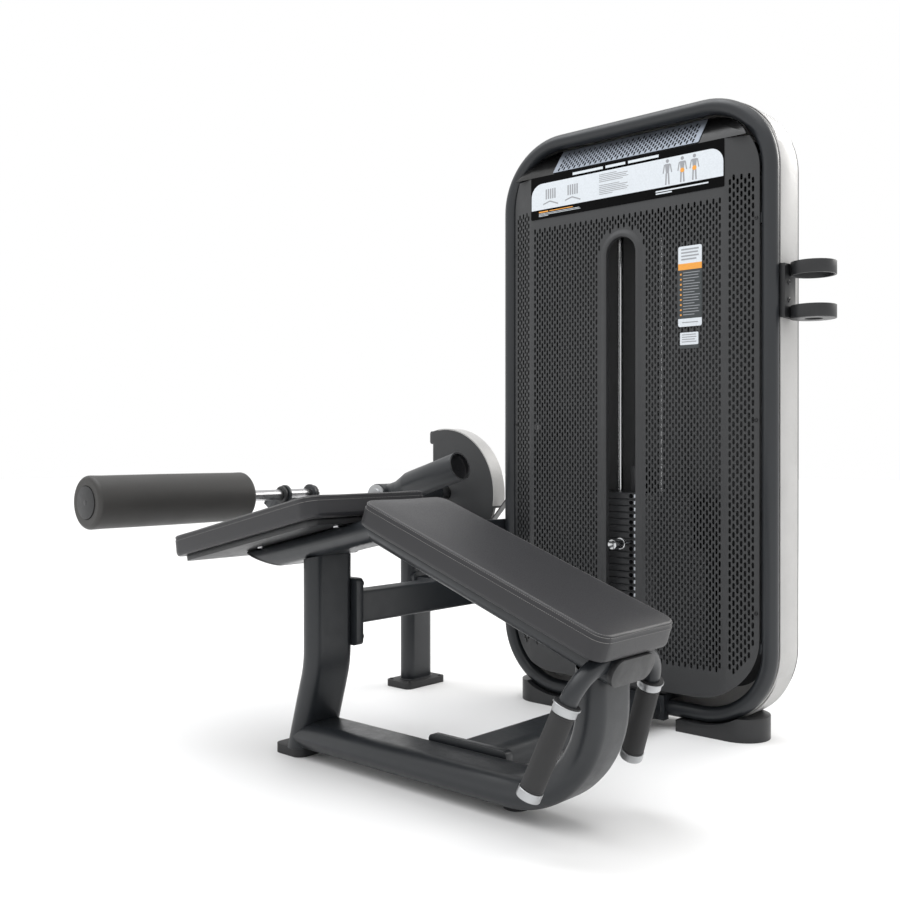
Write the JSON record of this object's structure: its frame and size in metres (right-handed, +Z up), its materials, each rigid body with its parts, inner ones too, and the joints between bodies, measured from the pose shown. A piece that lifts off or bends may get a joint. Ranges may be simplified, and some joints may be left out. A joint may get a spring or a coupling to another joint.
{
  "type": "lying leg curl machine",
  "caption": "Lying leg curl: bent two-pad bench with handles, pivoting leg arm with roller and counterweight, and a perforated weight tower.",
  "frame": {"origin": "on the floor under the middle of the whole machine's box", "axes": "+X towards the head end of the bench, +Y from the bench to the weight tower, +Z up"},
  "size_m": [1.5179, 1.082, 1.5],
  "materials": {
    "frame_paint": "satin dark grey powder coat",
    "cover_paint": "matt black powder coat",
    "shell_white": "satin pale silver powder coat",
    "black_plastic": "moulded black plastic",
    "black_bolt": "black oxide",
    "rubber": "matt black rubber",
    "grip_rubber": "fine grained rubber",
    "vinyl": "grained charcoal vinyl",
    "foam": "skinned foam",
    "aluminium": "brushed and anodised",
    "bright_steel": "bright turned steel",
    "chrome": "polished",
    "stack_iron": "black painted steel plate",
    "placard": "printed plastic film",
    "belt": "reinforced flat belt"
  },
  "bodies": {
    "frame": {"base_rail": "frame_paint", "rear_leg": "frame_paint", "pad_beam": "frame_paint", "beam_end_caps": "black_plastic", "cross_beam": "frame_paint", "base_crossbar": "frame_paint", "joint_flanges": "frame_paint", "flange_bolts": "black_bolt", "rubber_feet": "rubber", "thigh_board": "black_plastic", "thigh_pad": "vinyl", "chest_pad": "vinyl", "handle_bar": "frame_paint", "handle_grips": "grip_rubber", "grip_collars": "aluminium", "rear_post": "frame_paint", "link_beams": "frame_paint", "bearing_housing": "frame_paint", "pivot_bearings": "bright_steel", "cam_guard": "cover_paint", "guard_standoffs": "bright_steel", "tower_loop": "frame_paint", "side_shell": "shell_white", "back_cover": "cover_paint", "front_cover": "cover_paint", "header_panel": "cover_paint", "cover_clips": "frame_paint", "label_placard": "placard", "notice_placards": "placard", "tower_feet": "black_plastic", "stack_base": "frame_paint", "stack_bumpers": "rubber", "guide_rods": "chrome", "top_crossmember": "frame_paint", "pulley_brackets": "frame_paint", "pulley_axles": "bright_steel", "fixed_plates": "stack_iron", "belt_run": "belt", "cup_holder": "black_plastic", "belt_drop": "belt"},
    "leg_arm": {"leg_arm_tube": "frame_paint", "counterweight_tube": "frame_paint", "pivot_shaft": "bright_steel", "hub_cap": "aluminium", "arm_end_cap": "black_plastic", "leg_cam": "cover_paint"},
    "roller_carriage_body": {"roller_carriage": "frame_paint", "roller_shaft": "bright_steel", "shaft_collars": "black_plastic"},
    "roller": {"roller_core": "black_plastic", "roller_pad": "foam"},
    "stack": {"head_plate": "stack_iron", "lifted_plates": "stack_iron", "selector_stem": "bright_steel", "belt_clamp": "stack_iron"},
    "pop_pin": {"roller_pop_pin": "black_plastic"},
    "selector_pin_body": {"selector_pin": "chrome"},
    "redirect_pulley_body": {"redirect_pulley": "black_plastic"},
    "top_pulley_left_body": {"top_pulley_left": "black_plastic"},
    "top_pulley_right_body": {"top_pulley_right": "black_plastic"}
  },
  "joints": [
    {"name": "leg_arm_pivot", "type": "hinge", "parent": "frame", "child": "leg_arm", "pos_m": [-0.4, 0.35, 0.545], "axis": [0, 1, 0], "range_deg": [0, 110]},
    {"name": "stack_lift", "type": "slide", "parent": "frame", "child": "stack", "axis": [0, 0, 1], "range_m": [0, 0.3361], "deforming": ["belt_drop"]},
    {"name": "redirect_pulley_spin", "type": "hinge", "parent": "frame", "child": "redirect_pulley_body", "pos_m": [-0.0519, 0.48, 0.732], "axis": [0, 1, 0], "range_deg": [0, 480]},
    {"name": "top_pulley_left_spin", "type": "hinge", "parent": "frame", "child": "top_pulley_left_body", "pos_m": [0.0319, 0.48, 1.4], "axis": [0, 1, 0], "range_deg": [-480, 0]},
    {"name": "top_pulley_right_spin", "type": "hinge", "parent": "frame", "child": "top_pulley_right_body", "pos_m": [0.2131, 0.48, 1.4], "axis": [0, 1, 0], "range_deg": [-480, 0]},
    {"name": "roller_adjust", "type": "slide", "parent": "leg_arm", "child": "roller_carriage_body", "axis": [-0.8251, 0, 0.565], "range_m": [-0.05, 0.02]},
    {"name": "roller_spin", "type": "hinge", "parent": "roller_carriage_body", "child": "roller", "pos_m": [-0.654, -0.3, 0.545], "axis": [0, 1, 0], "continuous": true},
    {"name": "pop_pin_pull", "type": "slide", "parent": "roller_carriage_body", "child": "pop_pin", "axis": [-0.565, 0, -0.8251], "range_m": [0, 0.012], "stiffness_N_per_m": 400},
    {"name": "selector_pin_pull", "type": "slide", "parent": "stack", "child": "selector_pin_body", "axis": [0, -1, 0], "range_m": [0, 0.09]}
  ],
  "couplings": [
    {"joint": "stack_lift", "follows": "leg_arm_pivot", "m_per_rad": 0.1735},
    {"joint": "redirect_pulley_spin", "follows": "leg_arm_pivot", "ratio": 4.1408},
    {"joint": "top_pulley_left_spin", "follows": "leg_arm_pivot", "ratio": -4.1408},
    {"joint": "top_pulley_right_spin", "follows": "leg_arm_pivot", "ratio": -4.1408}
  ]
}
